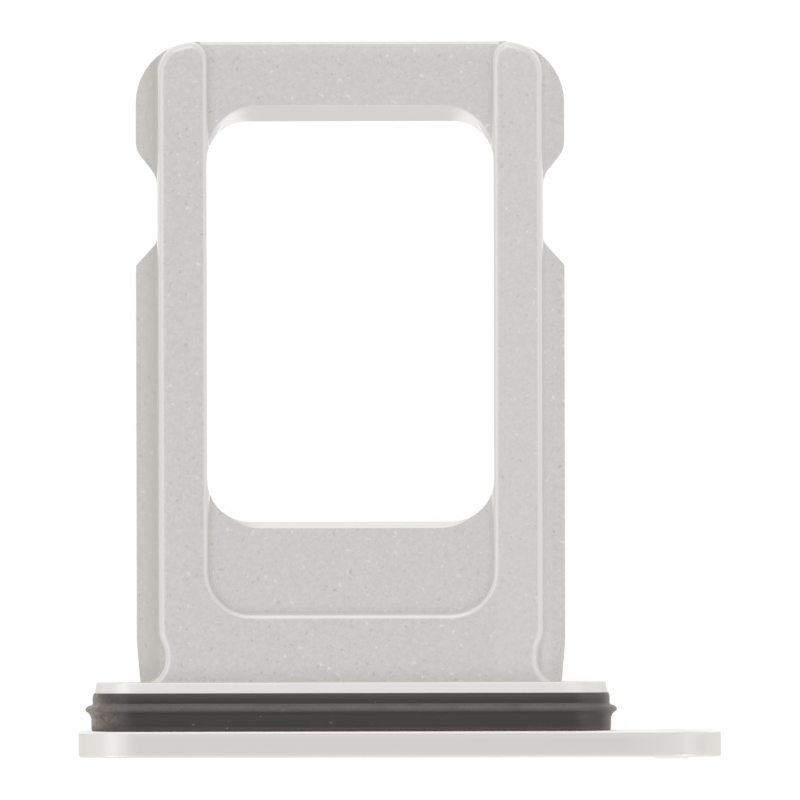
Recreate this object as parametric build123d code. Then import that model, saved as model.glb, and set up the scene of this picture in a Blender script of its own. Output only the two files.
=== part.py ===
from build123d import *
import os

# Small card that the tray carries, millimetres
CARD_LENGTH = 12.3
CARD_WIDTH = 8.8
CARD_THICKNESS = 0.67
CARD_KEY_CUT = 1.65
CARD_CORNER_RADIUS = 0.8

# Card pocket, and the ledge between it and the contact window
CARD_PLAY = 0.075
CARD_SINK = 0.03
SIDE_LEDGE = 0.44
LEAD_LEDGE = 0.445
TAIL_LEDGE = 0.75
LEDGE_THICKNESS = 0.28
POCKET_EDGE = 0.06

# Contact window
WINDOW_HEAD_RADIUS = 1.12
WINDOW_FOOT_RADIUS = 1.2
RAMP_LENGTH = 0.44
RAMP_DEPTH = 0.17
RAMP_CORNER_RADIUS = 1.55
FOOT_BEVEL = 0.18
FOOT_BEVEL_DEPTH = 0.1
FOOT_BEVEL_RADIUS = 1.45

# Raised rails and the recess between them
RAIL_WIDTH = 1.47
RAIL_OVERHANG = 0.08
RAIL_HEIGHT = 0.27
RAIL_EDGE_RADIUS = 0.24
RAIL_END_RADIUS = 0.56
RAIL_SHOULDER_RADIUS = 0.9
RAIL_SHOULDER_RISE = 0.03
RECESS_LENGTH = 2.54
RECESS_CORNER_RADIUS = 1.15
LEAD_BAR_LENGTH = 2.233
LEAD_EDGE_RADIUS = 0.1
LEAD_EDGE_REACH = 0.24
TAIL_BAR_LENGTH = 1.953

# Side guides, with a catch notch in each
GUIDE_WIDTH = 0.59
GUIDE_STEP = 0.35
LEAD_CORNER_RADIUS = 1.71
NOTCH_FROM_LEAD = 3.037
NOTCH_MOUTH = 3.245
NOTCH_LEAD_RUN = 0.75
NOTCH_TAIL_RUN = 0.65
NOTCH_LEAD_RADIUS = 0.65
NOTCH_TAIL_RADIUS = 0.28
NOTCH_LIP_RADIUS = 0.08
ROOT_TAPER = 0.1
ROOT_TAPER_LENGTH = 1.11
ROOT_TAPER_RADIUS = 6.0
RELIEF_RADIUS = 0.62
RELIEF_DEPTH = 0.17
RELIEF_RUN = 0.75
RELIEF_FLAT = 0.1
CARD_FACE_EDGE = 0.06

# Flange and front plate
FLANGE_LENGTH = 14.4
FLANGE_HEIGHT = 2.0
FLANGE_THICKNESS = 0.31
FLANGE_DRAFT = 10
FLANGE_EDGE_RADIUS = 0.06
PLATE_HEIGHT = 2.75
PLATE_THICKNESS = 0.75
PLATE_PLAIN_OVERHANG = 0.46
PLATE_PIN_OVERHANG = 3.19
PLATE_BACK_RADIUS = 0.08
PLATE_FRONT_RADIUS = 0.08
PIN_HOLE_DIAMETER = 0.8
PIN_RIM_WIDTH = 0.12
PIN_RIM_HEIGHT = 0.05

# Seal groove and seal ring
GROOVE_WIDTH = 1.062
GROOVE_DEPTH = 0.3
SEAL_TAIL_PROUD = 0.1
SEAL_LEAD_PROUD = 0.065
LIP_PROUD = 0.265
LIP_ROOT_FROM_PLATE = 0.305
LIP_TAIL_RUN = 0.24
LIP_TIP_WIDTH = 0.13
LIP_TIP_RADIUS = 0.045
LIP_LEAD_RUN = 0.07

# Stations along the insertion direction, from the outer face of the front plate
groove_front = PLATE_THICKNESS
groove_back = groove_front + GROOVE_WIDTH
root = groove_back + FLANGE_THICKNESS
recess_foot = root + TAIL_BAR_LENGTH
window_foot = recess_foot + RECESS_LENGTH
pocket_foot = window_foot - TAIL_LEDGE
pocket_head = pocket_foot + CARD_LENGTH + 2 * CARD_PLAY
window_head = pocket_head - LEAD_LEDGE
lead_edge = window_head + LEAD_BAR_LENGTH

# Half widths across the tray
pocket_half = CARD_WIDTH / 2 + CARD_PLAY
window_half = pocket_half - SIDE_LEDGE
recess_half = window_half - RAIL_OVERHANG
rail_half = recess_half + RAIL_WIDTH
frame_half = rail_half + GUIDE_WIDTH

# Levels, with the rails up and the card side down; the card's seat is the plate's middle plane
pocket_depth = CARD_THICKNESS + CARD_SINK
pocket_floor = 0
ledge_top = pocket_floor + LEDGE_THICKNESS
rail_top = ledge_top + RAIL_HEIGHT
guide_top = rail_top - GUIDE_STEP
card_face = pocket_floor - pocket_depth
frame_thickness = rail_top - card_face
clear = frame_thickness


def both_sides(half):
    """Face enclosed by an open line drawn on the +X side and its mirror image."""
    return make_face([half, mirror(half, Plane.YZ)])


def slot_plate(length, height, start, thickness, offset=0, draft=0):
    """Plate with fully rounded ends that lies across the insertion direction."""
    plane = Plane((offset, start, 0), x_dir=(1, 0, 0), z_dir=(0, 1, 0))
    return extrude(plane * SlotOverall(length, height), thickness, taper=draft)


# Frame blank: guides with rounded lead corners, a catch notch and a slight taper at the root
notch_head = lead_edge - NOTCH_FROM_LEAD
notch_foot = notch_head - NOTCH_MOUTH
outline = FilletPolyline(
    [
        (0, groove_back),
        (frame_half - ROOT_TAPER, groove_back),
        (frame_half - ROOT_TAPER, root),
        (frame_half, root + ROOT_TAPER_LENGTH),
        (frame_half, notch_foot),
        (rail_half, notch_foot + NOTCH_TAIL_RUN),
        (rail_half, notch_head - NOTCH_LEAD_RUN),
        (frame_half, notch_head),
        (frame_half, lead_edge),
        (0, lead_edge),
    ],
    radius=[
        0,
        0,
        ROOT_TAPER_RADIUS,
        NOTCH_LIP_RADIUS,
        NOTCH_TAIL_RADIUS,
        NOTCH_LEAD_RADIUS,
        NOTCH_LEAD_RADIUS,
        LEAD_CORNER_RADIUS,
    ],
)
frame = extrude(Pos(0, 0, card_face) * both_sides(outline), frame_thickness)

# Guide steps: each starts at a round shoulder inside the lead corner, runs down the outside of a rail
# and ends in the round relief of its cutter
shoulder_x = rail_half - RAIL_SHOULDER_RADIUS
corner_x = frame_half - LEAD_CORNER_RADIUS
corner_y = lead_edge - LEAD_CORNER_RADIUS
shoulder_reach = LEAD_CORNER_RADIUS - RAIL_SHOULDER_RADIUS
shoulder_y = corner_y + (shoulder_reach**2 - (shoulder_x - corner_x) ** 2) ** 0.5
touch = LEAD_CORNER_RADIUS / shoulder_reach
touch_x = corner_x + (shoulder_x - corner_x) * touch
touch_y = corner_y + (shoulder_y - corner_y) * touch
relief_x = rail_half - RELIEF_DEPTH
relief_y = root + RELIEF_RADIUS
swing_y = relief_y + RELIEF_FLAT + RELIEF_RUN
shoulder_end = (touch_x, touch_y + RAIL_SHOULDER_RISE)
shoulder = TangentArc((rail_half, shoulder_y), shoulder_end, tangent=(0, 1))
rail_side = Line((rail_half, shoulder_y), (rail_half, swing_y))
swing_in = TangentArc(
    (rail_half, swing_y),
    (rail_half - RELIEF_DEPTH / 2, swing_y - RELIEF_RUN / 2),
    tangent=(0, -1),
)
swing_back = TangentArc(swing_in @ 1, (relief_x, swing_y - RELIEF_RUN), tangent=swing_in % 1)
relief_side = Line((relief_x, swing_y - RELIEF_RUN), (relief_x, relief_y))
relief = TangentArc((relief_x, relief_y), (relief_x + RELIEF_RADIUS, root), tangent=(0, -1))
step_rest = Polyline(
    relief @ 1,
    (frame_half + clear, root),
    (frame_half + clear, lead_edge + clear),
    (touch_x, lead_edge + clear),
    shoulder @ 1,
)
step_area = make_face(
    [shoulder, rail_side, swing_in, swing_back, relief_side, relief, step_rest]
)
guide_step = extrude(Pos(0, 0, guide_top) * step_area, clear)
frame -= guide_step
frame -= mirror(guide_step, Plane.YZ)

# Recess between the rails: round inner corners at the tail, rails rounded off at the lead edge
recess_side = FilletPolyline(
    [(0, recess_foot), (recess_half, recess_foot), (recess_half, lead_edge - RAIL_END_RADIUS)],
    radius=[RECESS_CORNER_RADIUS],
)
rail_end = TangentArc(
    (recess_half, lead_edge - RAIL_END_RADIUS),
    (recess_half + RAIL_END_RADIUS, lead_edge),
    tangent=(0, 1),
)
recess_rest = Polyline(
    rail_end @ 1,
    (recess_half + RAIL_END_RADIUS, lead_edge + clear),
    (0, lead_edge + clear),
)
recess_outline = recess_side + rail_end + recess_rest
frame -= extrude(Pos(0, 0, ledge_top) * both_sides(recess_outline), clear)

# Soft edges round the top of the rails
rail_face = frame.faces().sort_by(Axis.Z)[-1]
rail_edges = rail_face.edges().filter_by(lambda edge: edge.center().Y > root - 0.001)
frame = fillet(rail_edges, RAIL_EDGE_RADIUS)

# Rounded lead edge of the bar between the rails
lead_round = TangentArc(
    (lead_edge, ledge_top - LEAD_EDGE_RADIUS),
    (lead_edge - LEAD_EDGE_RADIUS, ledge_top),
    tangent=(0, 1),
)
lead_rest = Polyline(
    lead_round @ 1,
    (lead_edge - LEAD_EDGE_RADIUS, ledge_top + clear),
    (lead_edge + clear, ledge_top + clear),
    (lead_edge + clear, ledge_top - LEAD_EDGE_RADIUS),
    lead_round @ 0,
)
lead_area = make_face([lead_round, lead_rest])
frame -= extrude(Plane.YZ * lead_area, recess_half + LEAD_EDGE_REACH, both=True)


def window_shape(half, foot, head, foot_radius, head_radius):
    """Face of an opening between the rails with rounded corners."""
    corners = [(-half, foot), (half, foot), (half, head), (-half, head)]
    radii = [foot_radius, foot_radius, head_radius, head_radius]
    return make_face(FilletPolyline(corners, radius=radii, close=True))


# Contact window, with a ramp at its head and a small bevel at its foot
window_face = window_shape(
    window_half, window_foot, window_head, WINDOW_FOOT_RADIUS, WINDOW_HEAD_RADIUS
)
ramp_face = window_shape(
    recess_half, window_foot + clear, window_head + RAMP_LENGTH, WINDOW_FOOT_RADIUS, RAMP_CORNER_RADIUS
)
bevel_top, bevel_low = (
    window_shape(recess_half, foot, window_head - clear, FOOT_BEVEL_RADIUS, WINDOW_HEAD_RADIUS)
    for foot in (window_foot - FOOT_BEVEL, window_foot + FOOT_BEVEL)
)
frame -= extrude(Pos(0, 0, card_face - clear) * window_face, 3 * clear)
frame -= loft(
    [Pos(0, 0, ledge_top - RAMP_DEPTH) * window_face, Pos(0, 0, ledge_top) * ramp_face],
    ruled=True,
)
frame -= loft(
    [Pos(0, 0, ledge_top - 2 * FOOT_BEVEL_DEPTH) * bevel_low, Pos(0, 0, ledge_top) * bevel_top],
    ruled=True,
)

# Card pocket in the hidden face, with one corner cut off as on the card
pocket_outline = FilletPolyline(
    [
        (pocket_half, pocket_foot),
        (pocket_half, pocket_head),
        (-pocket_half, pocket_head),
        (-pocket_half, pocket_foot + CARD_KEY_CUT),
        (CARD_KEY_CUT - pocket_half, pocket_foot),
    ],
    radius=[
        CARD_CORNER_RADIUS,
        CARD_CORNER_RADIUS,
        CARD_CORNER_RADIUS,
        CARD_CORNER_RADIUS,
        CARD_CORNER_RADIUS,
    ],
    close=True,
)
pocket = extrude(Pos(0, 0, card_face) * make_face(pocket_outline), pocket_depth)

# Broken edges of the hidden face, outside and round the mouth of the pocket
under_face = frame.faces().sort_by(Axis.Z)[0]
under_edges = under_face.outer_wire().edges().filter_by(lambda edge: edge.center().Y > root + 0.001)
frame = chamfer(under_edges, CARD_FACE_EDGE)
frame -= pocket
mouth_edges = frame.faces().sort_by(Axis.Z)[0].inner_wires()[0].edges()
frame = chamfer(mouth_edges, POCKET_EDGE)

# Flange, and the neck that carries the seal ring
flange = slot_plate(
    FLANGE_LENGTH, FLANGE_HEIGHT, groove_back, FLANGE_THICKNESS, draft=FLANGE_DRAFT
)
flange = fillet(flange.faces().sort_by(Axis.Y)[-1].edges(), FLANGE_EDGE_RADIUS)
neck = slot_plate(
    FLANGE_LENGTH - 2 * GROOVE_DEPTH,
    FLANGE_HEIGHT - 2 * GROOVE_DEPTH,
    groove_front,
    GROOVE_WIDTH,
)

# Front plate: longer at the end with the pin hole, which lies on the centre of that end's curve
plate_length = FLANGE_LENGTH + PLATE_PLAIN_OVERHANG + PLATE_PIN_OVERHANG
plate_offset = (PLATE_PIN_OVERHANG - PLATE_PLAIN_OVERHANG) / 2
pin_x = plate_offset + plate_length / 2 - PLATE_HEIGHT / 2
plate = slot_plate(plate_length, PLATE_HEIGHT, 0, PLATE_THICKNESS, plate_offset)
plate = fillet(plate.faces().sort_by(Axis.Y)[-1].edges(), PLATE_BACK_RADIUS)
plate = fillet(plate.faces().sort_by(Axis.Y)[0].edges(), PLATE_FRONT_RADIUS)

# Raised rim round the mouth of the pin hole
pin_radius = PIN_HOLE_DIAMETER / 2
rim_crest = Line((0, 0), (0, -PIN_RIM_HEIGHT))
rim_flat = Line((0, -PIN_RIM_HEIGHT), (pin_radius, -PIN_RIM_HEIGHT))
rim_curve = TangentArc(rim_flat @ 1, (pin_radius + PIN_RIM_WIDTH, 0), tangent=(1, 0))
rim_foot = Line(rim_curve @ 1, (0, 0))
rim_section = make_face([rim_crest, rim_flat, rim_curve, rim_foot])
rim = Pos(pin_x, 0, 0) * revolve(rim_section, Axis.Y)

pin_plane = Plane((pin_x, -PIN_RIM_HEIGHT, 0), x_dir=(1, 0, 0), z_dir=(0, 1, 0))
pin_hole = extrude(pin_plane * Circle(pin_radius), PIN_RIM_HEIGHT + PLATE_THICKNESS)
tray = plate + neck + flange + frame + rim - pin_hole

# Seal ring: one lipped section, run along the straights and turned round the ends
flange_edge = FLANGE_HEIGHT / 2
lip_foot = groove_front + LIP_ROOT_FROM_PLATE
lip_back = lip_foot + LIP_TAIL_RUN
lip_front = lip_back + LIP_TIP_WIDTH
tail_band = Polyline(
    (groove_front, flange_edge - GROOVE_DEPTH),
    (groove_front, flange_edge + SEAL_TAIL_PROUD),
    (lip_foot, flange_edge + SEAL_TAIL_PROUD),
)
lip_curve = TangentArc(tail_band @ 1, (lip_back, flange_edge + LIP_PROUD), tangent=(1, 0))
lead_band = Polyline(
    lip_curve @ 1,
    (lip_front, flange_edge + LIP_PROUD),
    (lip_front + LIP_LEAD_RUN, flange_edge + SEAL_LEAD_PROUD),
    (groove_back, flange_edge + SEAL_LEAD_PROUD),
    (groove_back, flange_edge - GROOVE_DEPTH),
    tail_band @ 0,
)
section = make_face([tail_band, lip_curve, lead_band])
tip_corners = section.vertices().group_by(Axis.Y)[-1]
section = fillet(tip_corners, LIP_TIP_RADIUS)

straight = FLANGE_LENGTH - FLANGE_HEIGHT
seal_plane = Plane((straight / 2, 0, 0), x_dir=(0, 1, 0), z_dir=(1, 0, 0))
seal_section = seal_plane * section
seal_side = extrude(seal_section, -straight)
seal_end = revolve(seal_section, Axis((straight / 2, 0, 0), (0, 1, 0)), 180)
seal_half = seal_side + seal_end
seal_ring = seal_half + seal_half.rotate(Axis.Y, 180)

os.makedirs("parts", exist_ok=True)
export_step(tray, "parts/tray.step")
export_step(seal_ring, "parts/seal_ring.step")
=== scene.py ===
import math

import bpy
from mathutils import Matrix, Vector


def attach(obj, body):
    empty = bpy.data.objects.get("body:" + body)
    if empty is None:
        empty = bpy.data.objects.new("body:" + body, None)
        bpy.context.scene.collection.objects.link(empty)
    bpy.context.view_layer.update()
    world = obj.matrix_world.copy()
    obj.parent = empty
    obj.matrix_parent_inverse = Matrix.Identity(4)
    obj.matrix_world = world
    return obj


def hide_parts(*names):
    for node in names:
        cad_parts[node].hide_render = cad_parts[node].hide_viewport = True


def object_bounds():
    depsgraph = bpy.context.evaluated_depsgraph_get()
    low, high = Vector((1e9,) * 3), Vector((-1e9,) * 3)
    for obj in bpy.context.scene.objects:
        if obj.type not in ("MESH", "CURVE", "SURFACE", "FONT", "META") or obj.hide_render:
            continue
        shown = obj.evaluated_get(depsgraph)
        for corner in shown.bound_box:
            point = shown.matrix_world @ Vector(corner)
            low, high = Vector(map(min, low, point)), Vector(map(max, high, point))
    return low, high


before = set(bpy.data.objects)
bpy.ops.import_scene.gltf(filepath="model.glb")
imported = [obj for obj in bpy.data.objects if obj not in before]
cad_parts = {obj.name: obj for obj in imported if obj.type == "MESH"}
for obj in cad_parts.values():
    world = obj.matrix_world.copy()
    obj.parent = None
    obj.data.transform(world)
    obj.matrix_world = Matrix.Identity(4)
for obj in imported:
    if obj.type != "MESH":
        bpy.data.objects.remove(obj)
cad_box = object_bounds()

# Tray
# One piece of light alloy, milled from a blank: card frame, rails, guides, flange, neck and front plate.
# The flat faces of the card frame are bead blasted to a fine matt grain and anodised; the plate, the
# flange, the window ramp and all rounded edges are smoother.
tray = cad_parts["tray"]
BLAST_DARK = (0.668, 0.653, 0.626, 1.0)
BLAST_PALE = (0.755, 0.740, 0.714, 1.0)
PIT_COLOUR = (0.590, 0.572, 0.546, 1.0)
GLINT_COLOUR = (0.872, 0.858, 0.836, 1.0)
EDGE_COLOUR = (0.795, 0.780, 0.755, 1.0)
RAMP_COLOUR = (0.730, 0.717, 0.701, 1.0)
WALL_PAINTED_LIGHT = (0.960, 0.946, 0.922, 1.0)
PLATE_COLOUR = (0.797, 0.779, 0.748, 1.0)
PLATE_EDGE_HIGHLIGHT = (0.848, 0.829, 0.799, 1.0)
PLATE_END_HIGHLIGHT = (0.872, 0.853, 0.821, 1.0)
PLATE_TURN_SHADE = (0.728, 0.713, 0.676, 1.0)
PLATE_BACK_HIGHLIGHT = (0.950, 0.934, 0.905, 1.0)
GUIDE_PAINTED_SHADE = (0.610, 0.586, 0.548, 1.0)
PALE_TONE = (0.840, 0.825, 0.800, 1.0)
FLANGE_COLOUR = (0.892, 0.880, 0.862, 1.0)
FLANGE_END_REFLECTION = (0.965, 0.953, 0.934, 1.0)
SMOOTH_ROUGHNESS, BLAST_ROUGHNESS = 0.38, 0.52
BLAST_BUMP, BLAST_DEPTH = 0.5, 0.000006
GRAIN = {"Blotch": 8.0, "Grit": 17.0, "Grit Share": 0.5, "Low": 0.3, "High": 0.7}
PITS = {"Scale": 4.4, "Size": 0.29, "Share": 0.50}
GLINTS = {"Scale": 3.8, "Size": 0.27, "Share": 0.34}
# Places on the tray in millimetres: each pair is where a tone starts and where it is full
FLANGE_STARTS = (1.77, 1.81)
FRAME_STARTS = (2.112, 2.132)
FLANGE_ENDS = (5.70, 6.50)
STEP_WALLS = (0.10, 0.16)
RAMP_CORNER_X, RAMP_CORNER_Y = 2.62, 16.90
RAMP_STARTS = (RAMP_CORNER_Y, RAMP_CORNER_Y + 0.1)
RAMP_REACH = (1.46, 1.36)
BELOW_RAILS = (0.32, 0.30)
RAMP_SLOPE = 0.42
LEFT_GUIDE = (-5.28, -5.45)
LEFT_WALL_FOOT = ((-5.92, -5.54), (-5.28, -5.50))
LEAD_EDGE = (19.60, 20.00)
RIGHT_RAIL = ((3.85, 4.25), (5.42, 5.28))
RIGHT_WALL_FOOT = ((5.72, 5.48), (5.33, 5.40))
PLATE_MIDDLE = 0.36
PLATE_EDGES = (0.14, 0.36)
PLATE_BACK = (1.00, 0.90)
PLAIN_END = (-5.95, -6.30)
PIN_END = ((7.40, 9.25), (9.70, 9.35))
# Shares of the surface direction, in the same way
FLAT_FRAME, FLAT_FLANGE = (0.93, 0.99), (0.90, 0.99)
STEEP = (0.50, 0.25)
NOT_UPRIGHT, FACING_UP = (0.10, 0.25), (0.0, 0.1)
END_HIGHLIGHT_SLOPES = (0.30, 0.60)
TURNED_ASIDE = (0.55, 0.90)
FACING_IN = (0.10, 0.35)


def feed(tree, sockets, values):
    """Gives each socket a fixed value or links it to another node's output."""
    for socket, value in zip(sockets, values):
        if isinstance(value, bpy.types.NodeSocket):
            tree.links.new(value, socket)
        else:
            socket.default_value = value


def slide(tree, value, zone, reach):
    """Goes evenly from reach's first number at the zone's start to its second at the zone's end."""
    scale = tree.nodes.new("ShaderNodeMapRange")
    names = ("Value", "From Min", "From Max", "To Min", "To Max")
    feed(tree, [scale.inputs[name] for name in names], (value, *zone, *reach))
    return scale.outputs["Result"]


def step_up(tree, value, zone):
    """Mask that goes softly from 0 at the zone's start to 1 at its end, in either direction."""
    mask = slide(tree, value, zone, (0.0, 1.0))
    mask.node.interpolation_type = "SMOOTHSTEP"
    return mask


def worked_out(tree, operation, *values):
    """Result of one sum on masks and numbers."""
    total = tree.nodes.new("ShaderNodeMath")
    total.operation = operation
    feed(tree, total.inputs, values)
    return total.outputs["Value"]


def times(tree, first, *others):
    """Product of masks and numbers."""
    for other in others:
        first = worked_out(tree, "MULTIPLY", first, other)
    return first


def vector_worked_out(tree, operation, *values):
    """Node with the result of one sum on vectors."""
    total = tree.nodes.new("ShaderNodeVectorMath")
    total.operation = operation
    feed(tree, total.inputs, values)
    return total


def mixed(tree, kind, mask, under, over):
    """Goes from under to over where the mask is 1; the kind is RGBA for colours or VECTOR."""
    mix = tree.nodes.new("ShaderNodeMix")
    mix.data_type = kind
    ends = [socket for socket in mix.inputs if socket.name in ("A", "B") and socket.type == kind]
    feed(tree, [mix.inputs["Factor"], *ends], (mask, under, over))
    return [socket for socket in mix.outputs if socket.type == kind][0]


def tinted(tree, mask, under, over):
    """Colour that goes from under to over where the mask is 1."""
    return mixed(tree, "RGBA", mask, under, over)


def place_in_mm(tree):
    """Object coordinates in millimetres, whole and split, and the surface direction."""
    place = tree.nodes.new("ShaderNodeTexCoord")
    to_mm = vector_worked_out(tree, "SCALE", place.outputs["Object"])
    to_mm.inputs["Scale"].default_value = 1000.0
    split = tree.nodes.new("ShaderNodeSeparateXYZ")
    tree.links.new(to_mm.outputs["Vector"], split.inputs["Vector"])
    facing = tree.nodes.new("ShaderNodeSeparateXYZ")
    tree.links.new(place.outputs["Normal"], facing.inputs["Vector"])
    return to_mm.outputs["Vector"], split.outputs, facing.outputs


def new_mask_group(name, settings):
    """New node group that puts out a mask, and its settings as sockets to use inside it."""
    group = bpy.data.node_groups.new(name, "ShaderNodeTree")
    for setting, value in settings.items():
        socket = group.interface.new_socket(setting, in_out="INPUT", socket_type="NodeSocketFloat")
        socket.default_value = value
    group.interface.new_socket("Mask", in_out="OUTPUT", socket_type="NodeSocketFloat")
    return group, group.nodes.new("NodeGroupInput").outputs


def mask_of(tree, group, settings):
    """Mask of a node group, placed in a material with its own settings."""
    placed = tree.nodes.new("ShaderNodeGroup")
    placed.node_tree = group
    feed(tree, [placed.inputs[name] for name in settings], settings.values())
    return placed.outputs["Mask"]


# Speckle: a mask of soft blotches with finer grit in them, for the blasted metal and the dusty rubber
speckle, given = new_mask_group("speckle", GRAIN)
spot, _, _ = place_in_mm(speckle)
NOISE_INPUTS = ("Vector", "Scale", "Detail")
noises = []
for setting, detail in (("Blotch", 2.0), ("Grit", 1.0)):
    noise = speckle.nodes.new("ShaderNodeTexNoise")
    feed(speckle, [noise.inputs[name] for name in NOISE_INPUTS], (spot, given[setting], detail))
    noises.append(noise.outputs["Fac"])
both = speckle.nodes.new("ShaderNodeMix")
feed(speckle, [both.inputs[name] for name in ("Factor", "A", "B")], (given["Grit Share"], *noises))
speckled = slide(speckle, both.outputs["Result"], (given["Low"], given["High"]), (0.0, 1.0))
speckle.links.new(speckled, speckle.nodes.new("NodeGroupOutput").inputs["Mask"])

# Flecks: a mask of small ragged spots, one in a share of the cells of a pattern; pits, glints and dust
RAGGED_SCALE, RAGGED_SHIFT = 8.0, 0.2
flecks, given = new_mask_group("flecks", PITS)
spot, _, _ = place_in_mm(flecks)
ragged = flecks.nodes.new("ShaderNodeTexNoise")
feed(flecks, [ragged.inputs[name] for name in NOISE_INPUTS], (spot, RAGGED_SCALE, 1.0))
shifted = vector_worked_out(flecks, "MULTIPLY_ADD", ragged.outputs["Color"], [RAGGED_SHIFT] * 3, spot)
cells = flecks.nodes.new("ShaderNodeTexVoronoi")
flecks.links.new(shifted.outputs["Vector"], cells.inputs["Vector"])
flecks.links.new(given["Scale"], cells.inputs["Scale"])
near = step_up(flecks, cells.outputs["Distance"], (given["Size"], 0.0))
lot = flecks.nodes.new("ShaderNodeSeparateColor")
flecks.links.new(cells.outputs["Color"], lot.inputs["Color"])
picked = worked_out(flecks, "LESS_THAN", lot.outputs["Red"], given["Share"])
flecks.links.new(times(flecks, near, picked), flecks.nodes.new("NodeGroupOutput").inputs["Mask"])

metal = bpy.data.materials.new("blasted_alloy")
metal.use_nodes = True
tree = metal.node_tree
metal_shader = tree.nodes["Principled BSDF"]
metal_shader.inputs["Metallic"].default_value = 1.0
_, at, facing = place_in_mm(tree)
upward = worked_out(tree, "ABSOLUTE", facing["Z"])
sideways = worked_out(tree, "ABSOLUTE", facing["X"])
aside = worked_out(tree, "ABSOLUTE", at["X"])
frame_side = step_up(tree, at["Y"], FRAME_STARTS)

# The ramp at the window's head runs out round the window's corners as a shallow smooth scoop
past_corner = tree.nodes.new("ShaderNodeCombineXYZ")
for axis, place, corner in (("X", aside, RAMP_CORNER_X), ("Y", at["Y"], RAMP_CORNER_Y)):
    past = worked_out(tree, "SUBTRACT", place, corner)
    tree.links.new(worked_out(tree, "MAXIMUM", past, 0.0), past_corner.inputs[axis])
from_corner = vector_worked_out(tree, "LENGTH", past_corner.outputs["Vector"]).outputs["Value"]
ramp = times(
    tree,
    step_up(tree, at["Y"], RAMP_STARTS),
    step_up(tree, from_corner, RAMP_REACH),
    step_up(tree, at["Z"], BELOW_RAILS),
)
mirror = tree.nodes.new("ShaderNodeCombineXYZ")
feed(tree, mirror.inputs, (worked_out(tree, "SIGN", at["X"]), 1.0))
downhill = vector_worked_out(tree, "NORMALIZE", past_corner.outputs["Vector"]).outputs["Vector"]
downhill = vector_worked_out(tree, "MULTIPLY", downhill, mirror.outputs["Vector"]).outputs["Vector"]
slope = (-RAMP_SLOPE, -RAMP_SLOPE, 0.0)
lean = vector_worked_out(tree, "MULTIPLY_ADD", downhill, slope, (0.0, 0.0, 1.0)).outputs["Vector"]
sloped = times(tree, ramp, step_up(tree, upward, NOT_UPRIGHT), step_up(tree, facing["Z"], FACING_UP))
own_normal = tree.nodes.new("ShaderNodeNewGeometry").outputs["Normal"]
ramp_normal = vector_worked_out(tree, "NORMALIZE", mixed(tree, "VECTOR", sloped, own_normal, lean))

# Blasted grain with its pits and glints; a paler tone towards the lead edge; painted shade on the left
# guide, deepest along the foot of its wall; painted light on the right rail and along the foot of the right
# guide's wall
grain = mask_of(tree, speckle, GRAIN)
off_ramp = worked_out(tree, "SUBTRACT", 1.0, ramp)
blasted = times(tree, frame_side, step_up(tree, upward, FLAT_FRAME), off_ramp)
grain_tint = tinted(tree, grain, BLAST_DARK, BLAST_PALE)
grain_tint = tinted(tree, mask_of(tree, flecks, PITS), grain_tint, PIT_COLOUR)
grain_tint = tinted(tree, mask_of(tree, flecks, GLINTS), grain_tint, GLINT_COLOUR)
for place, zones, share, tone in (
    # painted shade on the left guide and along the foot of its wall
    ("X", (LEFT_GUIDE,), 0.24, GUIDE_PAINTED_SHADE),
    ("X", LEFT_WALL_FOOT, 0.50, GUIDE_PAINTED_SHADE),
    # a paler tone towards the lead edge
    ("Y", (LEAD_EDGE,), 0.30, PALE_TONE),
    # painted light on the right rail and along the foot of the right guide's wall
    ("X", RIGHT_RAIL, 0.16, PALE_TONE),
    ("X", RIGHT_WALL_FOOT, 0.40, PALE_TONE),
):
    toned = times(tree, *(step_up(tree, at[place], zone) for zone in zones), share)
    grain_tint = tinted(tree, toned, grain_tint, tone)
frame_tint = tinted(tree, blasted, EDGE_COLOUR, grain_tint)
frame_tint = tinted(tree, ramp, frame_tint, RAMP_COLOUR)
# The step walls are painted very pale: painted light that lifts the shade the walls throw on the floor
# beside them
step_wall_painted_light = times(tree, step_up(tree, upward, STEEP), step_up(tree, at["Z"], STEP_WALLS))
frame_tint = tinted(tree, step_wall_painted_light, frame_tint, WALL_PAINTED_LIGHT)

# The plate has painted highlights along its edges, on the slopes of its two rounded ends and on its back
# edge, and painted shade where its ends turn aside
off_middle = worked_out(tree, "ABSOLUTE", worked_out(tree, "SUBTRACT", at["Y"], PLATE_MIDDLE))
plate_tint = tinted(tree, step_up(tree, off_middle, PLATE_EDGES), PLATE_COLOUR, PLATE_EDGE_HIGHLIGHT)
pin_end = times(tree, *(step_up(tree, at["X"], zone) for zone in PIN_END))
end_highlight = worked_out(tree, "MAXIMUM", step_up(tree, at["X"], PLAIN_END), pin_end)
end_highlight = times(tree, end_highlight, step_up(tree, upward, END_HIGHLIGHT_SLOPES))
plate_tint = tinted(tree, end_highlight, plate_tint, PLATE_END_HIGHLIGHT)
# painted shade where the rounded ends turn aside
plate_tint = tinted(tree, step_up(tree, sideways, TURNED_ASIDE), plate_tint, PLATE_TURN_SHADE)
# painted highlight on the back edge
back_highlight = times(tree, step_up(tree, facing["Y"], FACING_IN), step_up(tree, at["Y"], PLATE_BACK))
plate_tint = tinted(tree, back_highlight, plate_tint, PLATE_BACK_HIGHLIGHT)

metal_tint = tinted(tree, frame_side, plate_tint, frame_tint)
flange_rim = times(
    tree,
    step_up(tree, at["Y"], FLANGE_STARTS),
    step_up(tree, at["Y"], FRAME_STARTS[::-1]),
    step_up(tree, upward, FLAT_FLANGE),
)
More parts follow.
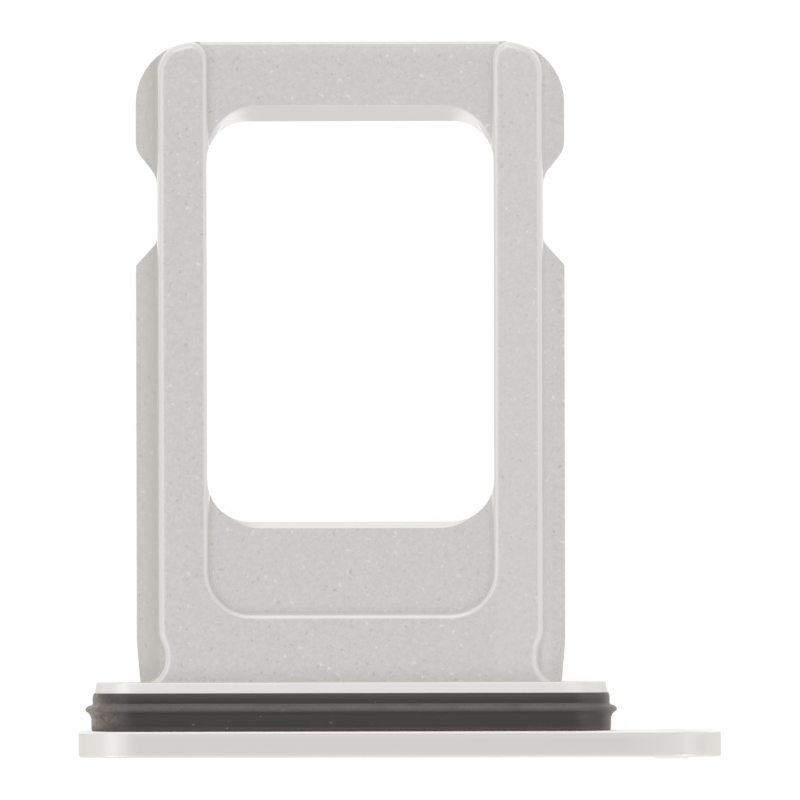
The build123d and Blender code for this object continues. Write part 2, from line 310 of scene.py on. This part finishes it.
# The flange's ends are painted near white: a painted reflection of the white floor in their rounded front
# edge
flange_tone_with_painted_ends = tinted(tree, step_up(tree, aside, FLANGE_ENDS), FLANGE_COLOUR, FLANGE_END_REFLECTION)
metal_tint = tinted(tree, flange_rim, metal_tint, flange_tone_with_painted_ends)
tree.links.new(metal_tint, metal_shader.inputs["Base Color"])
metal_rough = slide(tree, blasted, (0.0, 1.0), (SMOOTH_ROUGHNESS, BLAST_ROUGHNESS))
tree.links.new(metal_rough, metal_shader.inputs["Roughness"])
metal_bump = tree.nodes.new("ShaderNodeBump")
metal_bump.inputs["Strength"].default_value = BLAST_BUMP
metal_bump.inputs["Distance"].default_value = BLAST_DEPTH
tree.links.new(times(tree, grain, blasted), metal_bump.inputs["Height"])
tree.links.new(ramp_normal.outputs["Vector"], metal_bump.inputs["Normal"])
tree.links.new(metal_bump.outputs["Normal"], metal_shader.inputs["Normal"])
tray.data.materials.clear()
tray.data.materials.append(metal)

# Seal ring
# A moulded black rubber ring with one soft lip, stretched over the neck into its groove between the
# flange and the plate. It is modelled loop by loop round the neck, from the plate's side to the flange's.
RING_STRAIGHT_HALF = 0.0062
RING_STEPS = 74
STRAIGHT_CUTS = 61
MERGE_GAP = 0.0000001
SMOOTH_BELOW_DEG = 50.0
# Section: distance from the plate's outer face, and half height of the ring there, millimetres
RING_SECTION_MM = [
    (0.752, 0.720), (0.752, 1.064), (0.757, 1.082), (0.772, 1.092), (0.830, 1.098), (0.950, 1.100),
    (1.050, 1.100), (1.110, 1.107), (1.165, 1.124), (1.215, 1.151), (1.255, 1.184), (1.285, 1.221),
    (1.300, 1.245), (1.316, 1.257), (1.338, 1.263), (1.354, 1.265), (1.370, 1.262), (1.398, 1.252),
    (1.422, 1.232), (1.442, 1.196), (1.462, 1.140), (1.480, 1.090), (1.500, 1.064), (1.545, 1.060),
    (1.620, 1.064), (1.700, 1.062), (1.760, 1.052), (1.795, 1.038), (1.810, 1.018), (1.810, 0.720),
]
LIP_START, LIP_END = 0.00128, 0.00146
RIPPLE_LENGTH, RIPPLE_HEIGHT = 0.0011, 0.00003
RUBBER_COLOUR = (0.0380, 0.0335, 0.0320, 1.0)
DUST_AND_LIGHT_COLOUR = (0.175, 0.163, 0.152, 1.0)
BLOOM_AND_LIGHT_COLOUR = (0.345, 0.288, 0.245, 1.0)
FOOT_COLOUR = (0.130, 0.066, 0.061, 1.0)
SPECK_COLOUR = (0.300, 0.285, 0.270, 1.0)
RUBBER_SHEEN, SHEEN_ROUGHNESS = 0.25, 0.35
RUBBER_ROUGHNESS = (0.42, 0.58)
RUBBER_BUMP, RUBBER_DEPTH = 0.4, 0.000006
DUST = {"Blotch": 1.6, "Grit": 14.0, "Grit Share": 0.45, "Low": 0.25, "High": 0.6}
PATCHES = {"Blotch": 3.0, "Grit": 11.0, "Grit Share": 0.35, "Low": 0.36, "High": 0.60}
SPECKS = {"Scale": 3.2, "Size": 0.14, "Share": 0.60}
# Places on the ring in millimetres, where a tone starts and where it is full, and its share there
LIP_FRONT, LIP_BACK = (1.210, 1.480), (1.535, 1.490)
LIP_DUST_AND_HIGHLIGHT = (0.46, 0.92)
CLEAR_OF_END_TONE = (-7.05, -6.35)
FAR_END, FAR_END_LIP_SHARE = (6.3, 6.9), (1.0, 0.55)
BY_FLANGE, FLANGE_LIGHT_SHARE = (1.58, 1.82), 0.22
BY_PLATE, PLATE_LIGHT_SHARE = (0.92, 0.74), 0.40
FOOT, FOOT_ALONG = (0.85, 0.76), (-3.6, -0.8)
END_TONE_PATCHES = (0.30, 1.0)
BELOW_LIP, LIP_SIDE_TONE = (1.62, 1.46), (0.55, 1.0)
ABOVE_FOOT, FOOT_END_TONE = (0.80, 0.95), (0.6, 1.0)
WIDE_END, WIDE_SHARE = (-6.05, -6.95), 0.45
TIP_END, TIP_SHARE = (-6.90, -7.20), 0.5
FAR_WIDE_END, FAR_WIDE_SHARE = (6.20, 6.60), 0.1
FAR_TIP_END, FAR_TIP_SHARE = (6.95, 7.50), 0.6
SPECKS_ALONG = (3.5, -2.5)


def select_points(piece, wanted):
    """Selects the points of a mesh, in edit mode, for which wanted(index, place) is true."""
    bpy.ops.mesh.select_mode(type="VERT")
    bpy.ops.mesh.select_all(action="DESELECT")
    bpy.ops.object.mode_set(mode="OBJECT")
    for point in piece.data.vertices:
        point.select = wanted(point.index, point.co)
    bpy.ops.object.mode_set(mode="EDIT")


bpy.ops.object.select_all(action="DESELECT")
for number, (y_mm, half_mm) in enumerate(RING_SECTION_MM):
    bpy.ops.mesh.primitive_circle_add(
        vertices=RING_STEPS,
        radius=half_mm / 1000,
        location=(0.0, y_mm / 1000, 0.0),
        rotation=(math.pi / 2, 0.0, 0.0),
    )
    if number == 0:
        ring = bpy.context.object
        ring.name = "seal_lip_ring"
        bpy.ops.object.transform_apply(location=True, rotation=True, scale=True)
        bpy.ops.object.mode_set(mode="EDIT")
for side in (1.0, -1.0):
    select_points(ring, lambda index, spot: spot.x * side > 0)
    bpy.ops.transform.translate(value=(side * RING_STRAIGHT_HALF, 0.0, 0.0))
for number in range(len(RING_SECTION_MM)):
    other = (number + 1) % len(RING_SECTION_MM)
    select_points(ring, lambda index, spot: index // RING_STEPS in (number, other))
    bpy.ops.mesh.select_mode(type="EDGE")
    bpy.ops.mesh.bridge_edge_loops()
bpy.ops.mesh.select_all(action="SELECT")
bpy.ops.mesh.remove_doubles(threshold=MERGE_GAP)
bpy.ops.mesh.normals_make_consistent(inside=False)
bpy.ops.mesh.select_mode(type="EDGE")
bpy.ops.mesh.select_all(action="DESELECT")
bpy.ops.object.mode_set(mode="OBJECT")
for edge in ring.data.edges:
    first, second = (ring.data.vertices[i].co for i in edge.vertices)
    edge.select = abs(first.x - second.x) > RING_STRAIGHT_HALF
bpy.ops.object.mode_set(mode="EDIT")
bpy.ops.mesh.subdivide(number_cuts=STRAIGHT_CUTS)
bpy.ops.object.mode_set(mode="OBJECT")

# The free lip of a stretched ring is never quite straight
lip_group = ring.vertex_groups.new(name="lip")
lip_points = [point.index for point in ring.data.vertices if LIP_START < point.co.y < LIP_END]
lip_group.add(lip_points, 1.0, "REPLACE")
ripple = bpy.data.textures.new("lip_ripple", "CLOUDS")
ripple.noise_scale = RIPPLE_LENGTH
ripple.noise_depth = 1
wave = ring.modifiers.new("ripple", "DISPLACE")
wave.texture = ripple
wave.texture_coords = "LOCAL"
wave.vertex_group = "lip"
wave.direction = "Y"
wave.mid_level = 0.5
wave.strength = RIPPLE_HEIGHT
bpy.ops.object.modifier_apply(modifier="ripple")
bpy.ops.object.shade_smooth_by_angle(angle=math.radians(SMOOTH_BELOW_DEG))

rubber = bpy.data.materials.new("moulded_rubber")
rubber.use_nodes = True
tree = rubber.node_tree
rubber_shader = tree.nodes["Principled BSDF"]
rubber_shader.inputs["Sheen Weight"].default_value = RUBBER_SHEEN
rubber_shader.inputs["Sheen Roughness"].default_value = SHEEN_ROUGHNESS
_, at, _ = place_in_mm(tree)
dust = mask_of(tree, speckle, DUST)

# Dust lies on the lip, with a painted highlight along it; beside the flange and the plate the ring is
# painted paler, painted light in place of the light the metal sends onto it
clear_of_end_tone = step_up(tree, at["X"], CLEAR_OF_END_TONE)
lip_dust_and_highlight = times(
    tree,
    step_up(tree, at["Y"], LIP_FRONT),
    step_up(tree, at["Y"], LIP_BACK),
    slide(tree, dust, (0.0, 1.0), LIP_DUST_AND_HIGHLIGHT),
    clear_of_end_tone,
    slide(tree, at["X"], FAR_END, FAR_END_LIP_SHARE),
)
flange_painted_light = times(tree, step_up(tree, at["Y"], BY_FLANGE), FLANGE_LIGHT_SHARE)
plate_painted_light = times(tree, step_up(tree, at["Y"], BY_PLATE), PLATE_LIGHT_SHARE, clear_of_end_tone)
foot = times(tree, step_up(tree, at["Y"], FOOT), step_up(tree, at["X"], FOOT_ALONG))

# The two ends are painted a patchy brownish grey, part bloom of old stretched rubber and part painted light
# where the side lamps fall on their rounded ends, the left end most
below_lip = slide(tree, at["Y"], BELOW_LIP, LIP_SIDE_TONE)
wide_end_tone = times(tree, step_up(tree, at["X"], WIDE_END), below_lip, WIDE_SHARE)
tip_end_tone = times(tree, step_up(tree, at["X"], TIP_END), TIP_SHARE)
patches = slide(tree, mask_of(tree, speckle, PATCHES), (0.0, 1.0), END_TONE_PATCHES)
above_foot = slide(tree, at["Y"], ABOVE_FOOT, FOOT_END_TONE)
end_bloom_and_light = times(tree, worked_out(tree, "ADD", wide_end_tone, tip_end_tone), patches, above_foot)
far_wide_end_tone = times(tree, step_up(tree, at["X"], FAR_WIDE_END), FAR_WIDE_SHARE)
far_tip_end_tone = times(tree, step_up(tree, at["X"], FAR_TIP_END), FAR_TIP_SHARE)
far_bloom_and_light = worked_out(tree, "ADD", far_tip_end_tone, far_wide_end_tone)
specks = times(tree, mask_of(tree, flecks, SPECKS), step_up(tree, at["X"], SPECKS_ALONG))

rubber_tint = tinted(tree, lip_dust_and_highlight, RUBBER_COLOUR, DUST_AND_LIGHT_COLOUR)
for mask, tone in (
    (flange_painted_light, DUST_AND_LIGHT_COLOUR),
    (plate_painted_light, DUST_AND_LIGHT_COLOUR),
    (foot, FOOT_COLOUR),
    (end_bloom_and_light, BLOOM_AND_LIGHT_COLOUR),
    (far_bloom_and_light, BLOOM_AND_LIGHT_COLOUR),
    (specks, SPECK_COLOUR),
):
    rubber_tint = tinted(tree, mask, rubber_tint, tone)
tree.links.new(rubber_tint, rubber_shader.inputs["Base Color"])
rubber_rough = slide(tree, dust, (0.0, 1.0), RUBBER_ROUGHNESS)
tree.links.new(rubber_rough, rubber_shader.inputs["Roughness"])
rubber_bump = tree.nodes.new("ShaderNodeBump")
rubber_bump.inputs["Strength"].default_value = RUBBER_BUMP
rubber_bump.inputs["Distance"].default_value = RUBBER_DEPTH
tree.links.new(dust, rubber_bump.inputs["Height"])
tree.links.new(rubber_bump.outputs["Normal"], rubber_shader.inputs["Normal"])
ring.data.materials.append(rubber)
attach(ring, "root")
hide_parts("seal_ring")

# Floor
# A plain white sheet of paper that the tray lies on. It stays white to the camera, in reflections and
# through the window, and keeps a soft shadow.
FLOOR_SIZE = 2.0
PAPER_COLOUR = (0.8, 0.8, 0.8, 1.0)
SHADOW_COLOUR = (0.12, 0.12, 0.12, 1.0)
SEEN_WHITE = 0.92
floor_level = cad_box[0][2]
bpy.ops.object.select_all(action="DESELECT")
bpy.ops.mesh.primitive_plane_add(size=FLOOR_SIZE, location=(0.0, 0.0, floor_level))
floor = bpy.context.object
floor.name = "floor"
paper = bpy.data.materials.new("white_paper")
paper.use_nodes = True
tree = paper.node_tree
tree.nodes.remove(tree.nodes["Principled BSDF"])
paper_body = tree.nodes.new("ShaderNodeBsdfDiffuse")
paper_body.inputs["Color"].default_value = PAPER_COLOUR
paper_shadow = tree.nodes.new("ShaderNodeBsdfDiffuse")
paper_shadow.inputs["Color"].default_value = SHADOW_COLOUR
paper_white = tree.nodes.new("ShaderNodeEmission")
paper_white.inputs["Strength"].default_value = SEEN_WHITE
paper_seen = tree.nodes.new("ShaderNodeAddShader")
feed(tree, paper_seen.inputs, (paper_shadow.outputs["BSDF"], paper_white.outputs["Emission"]))
ray = tree.nodes.new("ShaderNodeLightPath").outputs
seen = worked_out(tree, "MAXIMUM", ray["Is Camera Ray"], ray["Is Glossy Ray"])
seen = worked_out(tree, "MAXIMUM", seen, ray["Is Transmission Ray"])
paper_mix = tree.nodes.new("ShaderNodeMixShader")
feed(tree, paper_mix.inputs, (seen, paper_body.outputs["BSDF"], paper_seen.outputs["Shader"]))
tree.links.new(paper_mix.outputs["Shader"], tree.nodes["Material Output"].inputs["Surface"])
floor.data.materials.append(paper)

# Studio light
# A white tent all round, dimmer overhead and a little to the left, where the camera looks in. Soft panels
# stand high at the left and beyond the lead edge, a weak one at the right, and two small ones by the plate.
TENT_AXIS = (-0.25, 0.0, 0.968)
TENT_LEVELS = ((0.0, 0.85), (0.50, 0.86), (0.95, 0.74))
world = bpy.data.worlds.new("white_tent")
world.use_nodes = True
bpy.context.scene.world = world
tree = world.node_tree
toward = tree.nodes.new("ShaderNodeTexCoord").outputs["Generated"]
height = vector_worked_out(tree, "DOT_PRODUCT", toward, TENT_AXIS).outputs["Value"]
tent = tree.nodes.new("ShaderNodeValToRGB")
tent.color_ramp.elements.new(TENT_LEVELS[1][0])
for step, (place, level) in zip(tent.color_ramp.elements, TENT_LEVELS):
    step.position = place
    step.color = (level, level, level, 1.0)
tree.links.new(height, tent.inputs["Fac"])
tree.links.new(tent.outputs["Color"], tree.nodes["Background"].inputs["Color"])

# Each panel's place, width and brightness; all of them face the tray
PANELS = (
    ("panel_left", (-0.25, 0.04, 0.352), 0.32, 0.29),
    ("panel_lead", (-0.05, 0.34, 0.26), 0.30, 0.34),
    ("panel_right", (0.34, 0.00, 0.26), 0.26, 0.09),
    ("panel_corner_left", (-0.215, -0.265, 0.280), 0.18, 1.15),
    ("panel_corner_right", (0.215, -0.265, 0.280), 0.18, 1.15),
)
for name, spot, size, brightness in PANELS:
    lamp = bpy.data.lights.new(name, "AREA")
    lamp.shape = "SQUARE"
    lamp.size = size
    lamp.energy = brightness * math.pi * size**2
    panel = bpy.data.objects.new(name, lamp)
    panel.location = spot
    panel.rotation_euler = (-Vector(spot)).to_track_quat("-Z", "Y").to_euler()
    bpy.context.scene.collection.objects.link(panel)

# Camera
# Straight above the tray, far off with a long lens, as the photograph was taken.
PHOTO_PIXELS, PIXELS_PER_MM = 800, 35.594
FRAME_WIDTH = PHOTO_PIXELS / PIXELS_PER_MM / 1000
CAMERA_X, CAMERA_Y, CAMERA_HEIGHT = 0.001390, 0.010033, 1.0
CAMERA_TURN_DEG = -0.12
SENSOR_WIDTH_MM = 36.0
camera_data = bpy.data.cameras.new("above")
camera_data.sensor_width = SENSOR_WIDTH_MM
camera_data.lens = SENSOR_WIDTH_MM * CAMERA_HEIGHT / FRAME_WIDTH
camera_data.clip_start = 0.01
camera_data.clip_end = 10.0
camera = bpy.data.objects.new("above", camera_data)
camera.location = (CAMERA_X, CAMERA_Y, CAMERA_HEIGHT)
camera.rotation_euler = (0.0, 0.0, math.radians(CAMERA_TURN_DEG))
bpy.context.scene.collection.objects.link(camera)
bpy.context.scene.camera = camera

bpy.context.scene.view_settings.view_transform = "Standard"
